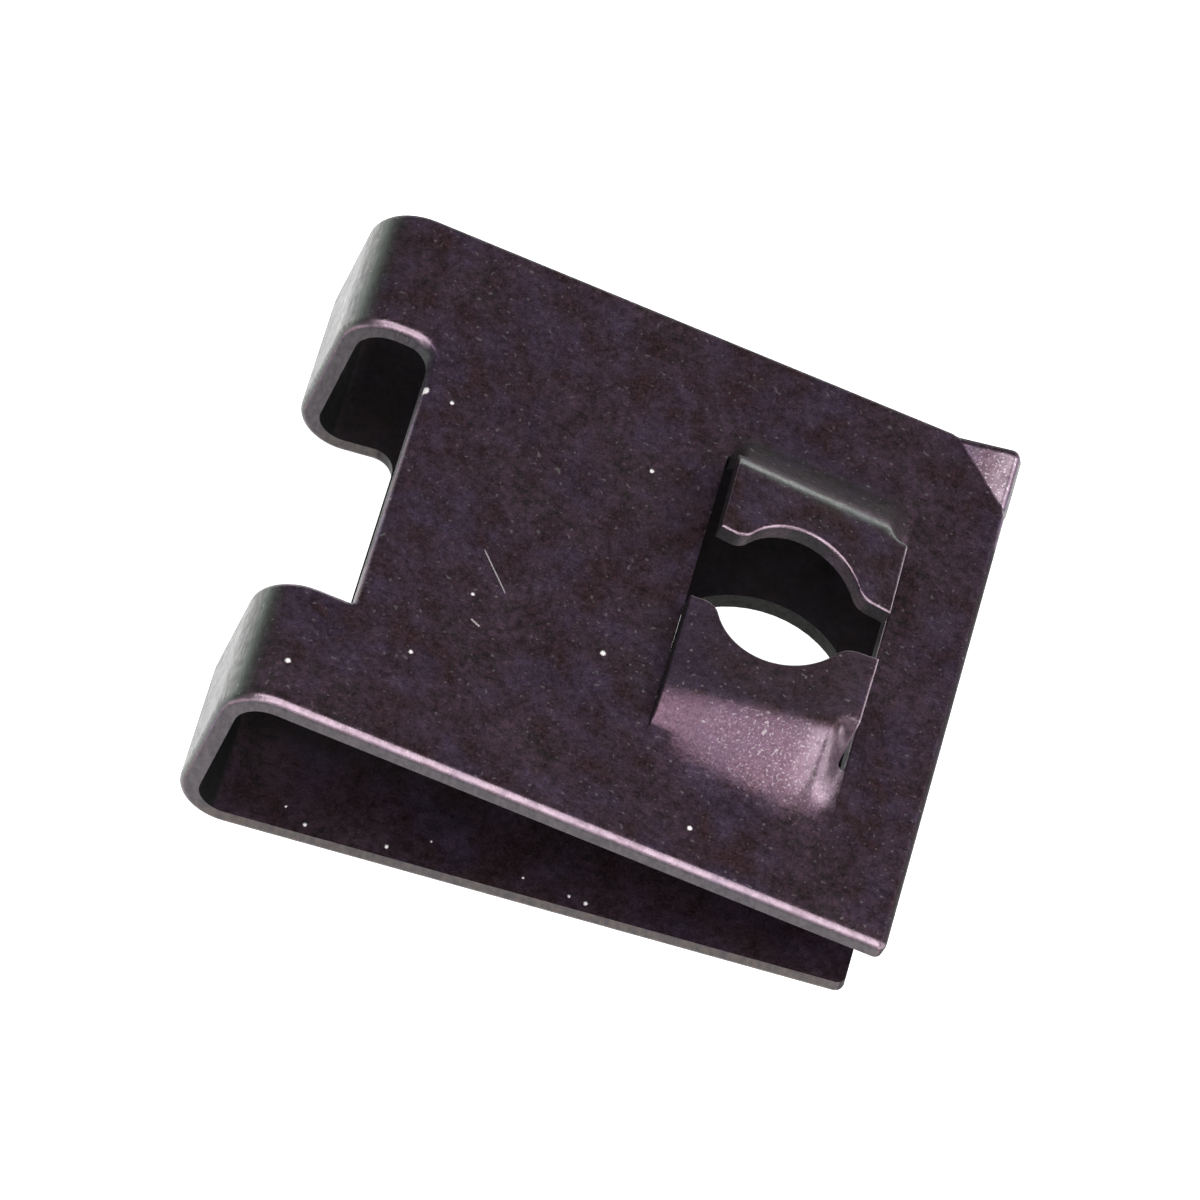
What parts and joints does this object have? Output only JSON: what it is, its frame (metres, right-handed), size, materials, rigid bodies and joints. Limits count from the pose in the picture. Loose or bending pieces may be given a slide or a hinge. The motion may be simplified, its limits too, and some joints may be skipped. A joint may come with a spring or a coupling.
{
  "type": "u clip speed nut",
  "caption": "Spring steel U-type speed nut that clips over a panel edge and takes a screw between a pair of raised, thread-forming prongs.",
  "frame": {"origin": "centre of the screw hole, on the outer face of the lower leg", "axes": "+X from the folded web to the open end, +Y across the strip, +Z from the lower leg to the upper leg"},
  "size_m": [0.0169, 0.0148, 0.0054],
  "materials": {
    "oxidised_steel": "dark purple-brown heat-treat oxide with a light oil, satin and faintly mottled"
  },
  "bodies": {
    "root": {"clip": "oxidised_steel"}
  },
  "joints": []
}
